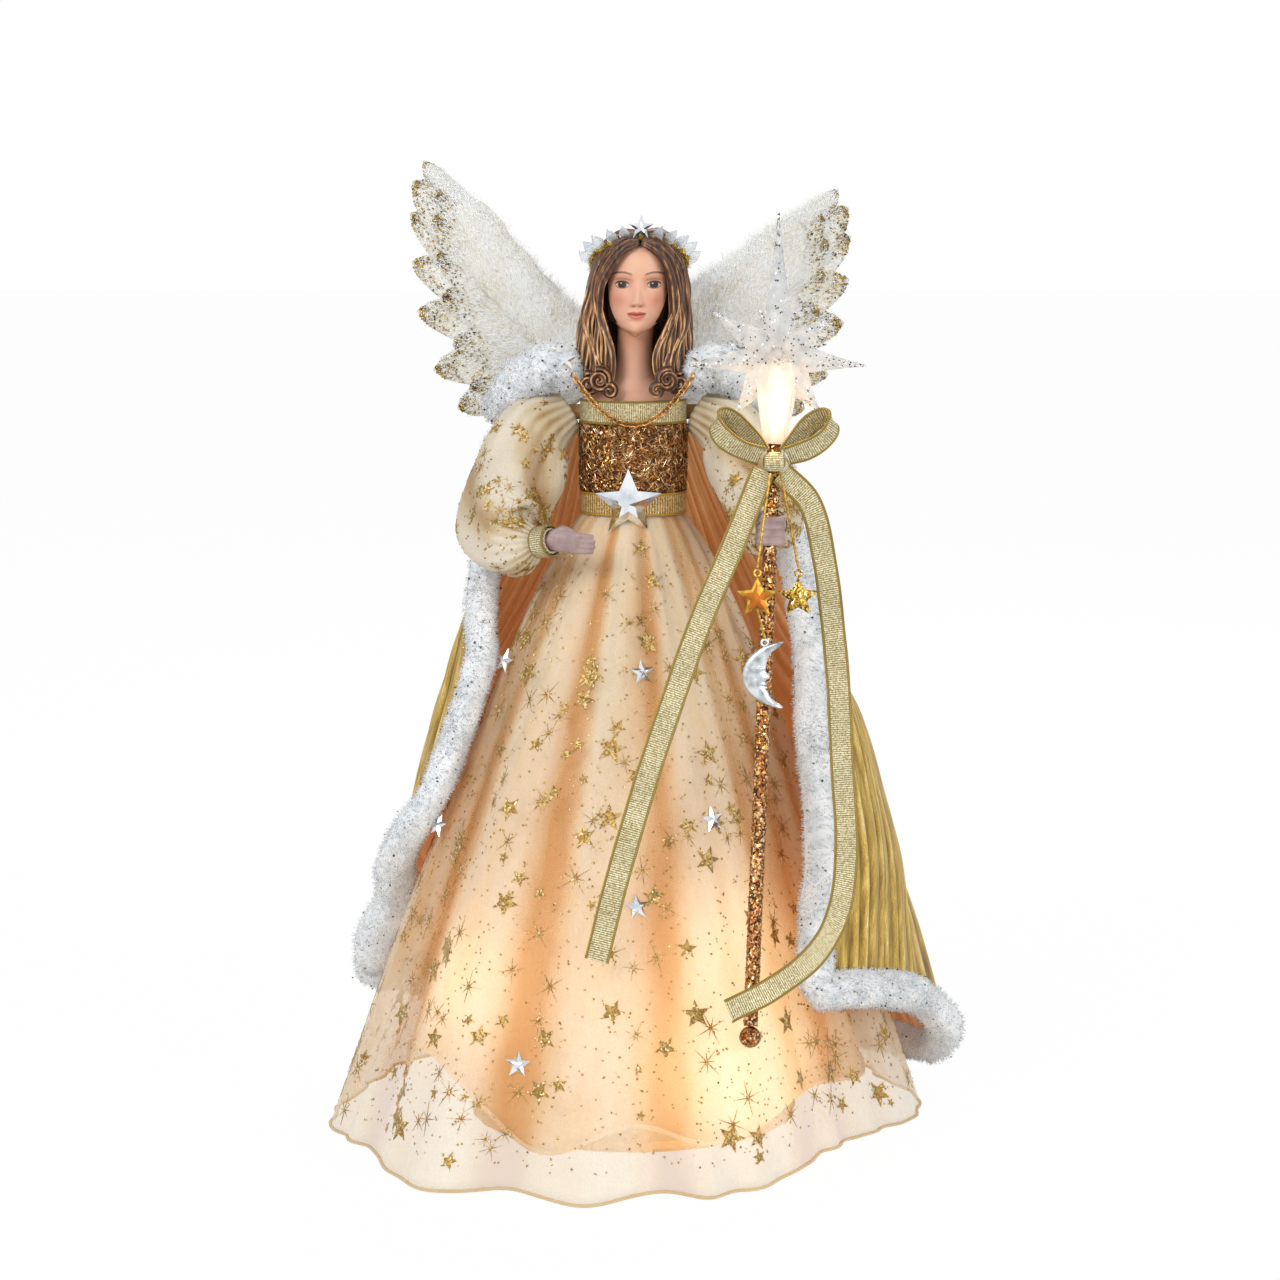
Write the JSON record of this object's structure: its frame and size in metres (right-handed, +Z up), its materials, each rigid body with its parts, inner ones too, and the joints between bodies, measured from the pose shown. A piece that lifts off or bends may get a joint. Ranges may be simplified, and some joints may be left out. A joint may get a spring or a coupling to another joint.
{
  "type": "angel tree topper",
  "caption": "Doll angel tree topper on an open cone, in layered skirts and a fur-edged cape, with feathered wings, a tinsel crown and a lit starburst staff with bow and charms.",
  "frame": {"origin": "on the table that the skirts stand on, at the middle of the footprint, about 5 mm to the viewer's right of the cone's axis", "axes": "+Z up, the figure faces -Y, +X to the viewer's right when seen from the front"},
  "size_m": [0.2773, 0.2805, 0.406],
  "materials": {
    "white_card": "matt white coated board",
    "moulded_core": "matt moulded plastic",
    "padding": "wadding wound on wire",
    "painted_head": "painted matt, hair brushed with gold",
    "painted_hand": "matt, grey pink",
    "silver": "mirror silvered, faceted",
    "gold_plastic": "mirror gilded, faceted",
    "gold_metal": "bright gold plated wire",
    "gold_tinsel": "cut metallised film",
    "gold_cord": "metallised thread",
    "gold_ribbon": "ribbed metallised ribbon with wired edges",
    "copper_glitter": "copper glitter cloth",
    "organza": "sheer, printed with gold glitter stars",
    "satin": "ivory satin",
    "gold_cloth": "crinkled gold cloth",
    "white_fur": "white pile with silver glitter",
    "feather": "white feathers, tips glittered",
    "clear_acrylic": "clear, polished",
    "amber_acrylic": "translucent, filled with glitter",
    "lamp_glass": "lit miniature lamp"
  },
  "bodies": {
    "figure": {"inner_cone": "white_card", "lamp_1": "lamp_glass", "lamp_2": "lamp_glass", "lamp_3": "lamp_glass", "lamp_4": "lamp_glass", "lamp_5": "lamp_glass", "torso_core": "moulded_core", "underskirt": "satin", "overskirt": "organza", "jewel_star_1": "silver", "jewel_star_2": "silver", "jewel_star_3": "silver", "jewel_star_4": "silver", "jewel_star_5": "silver", "jewel_star_6": "silver", "jewel_star_7": "silver", "bodice": "copper_glitter", "neckline_ribbon": "gold_ribbon", "belt_ribbon": "gold_ribbon", "belt_star": "silver", "sleeve_right": "organza", "arm_right": "padding", "cuff_right": "gold_ribbon", "sleeve_left": "organza", "arm_left": "padding", "cuff_left": "gold_ribbon", "hand_right": "painted_hand", "hand_left": "painted_hand", "head_casting": "painted_head", "crown_wreath": "gold_tinsel", "crown_star": "silver", "fur_collar_right": "white_fur", "fur_collar_left": "white_fur", "shoulder_star_right": "silver", "shoulder_star_left": "silver", "wing_right": "feather", "wing_down_right": "feather", "wing_left": "feather", "wing_down_left": "feather", "wing_bracket": "white_card", "cape": "gold_cloth", "fur_border_right": "white_fur", "fur_border_left": "white_fur", "fur_hem": "white_fur", "staff_rod": "amber_acrylic", "staff_ball": "amber_acrylic", "star_lamp": "lamp_glass", "star_finial": "clear_acrylic", "bow_knot": "gold_ribbon", "bow_loop_left": "gold_ribbon", "bow_loop_right": "gold_ribbon", "ribbon_tail_left": "gold_ribbon", "ribbon_tail_right": "gold_ribbon"},
    "neck_chain": {"neck_chain": "gold_metal"},
    "front_star_charm": {"charm_star_front": "gold_plastic", "charm_cord_star_front": "gold_cord"},
    "moon_charm": {"charm_moon": "silver", "charm_cord_moon": "gold_cord"},
    "side_star_charm": {"charm_star_side": "gold_plastic", "charm_cord_star_side": "gold_cord"}
  },
  "joints": [
    {"name": "neck_chain_swing", "type": "hinge", "parent": "figure", "child": "neck_chain", "pos_m": [-0.005, -0.0206, 0.3185], "axis": [-1, 0, 0], "range_deg": [0, 60]},
    {"name": "front_star_swing", "type": "hinge", "parent": "figure", "child": "front_star_charm", "pos_m": [0.05166, -0.07321, 0.28302], "axis": [-1, 0, 0], "range_deg": [0, 40]},
    {"name": "moon_swing", "type": "hinge", "parent": "front_star_charm", "child": "moon_charm", "pos_m": [0.04463, -0.08838, 0.23031], "axis": [-1, 0, 0], "range_deg": [0, 40]},
    {"name": "side_star_swing", "type": "hinge", "parent": "figure", "child": "side_star_charm", "pos_m": [0.05166, -0.07321, 0.28302], "axis": [-1, 0, 0], "range_deg": [0, 40]}
  ]
}
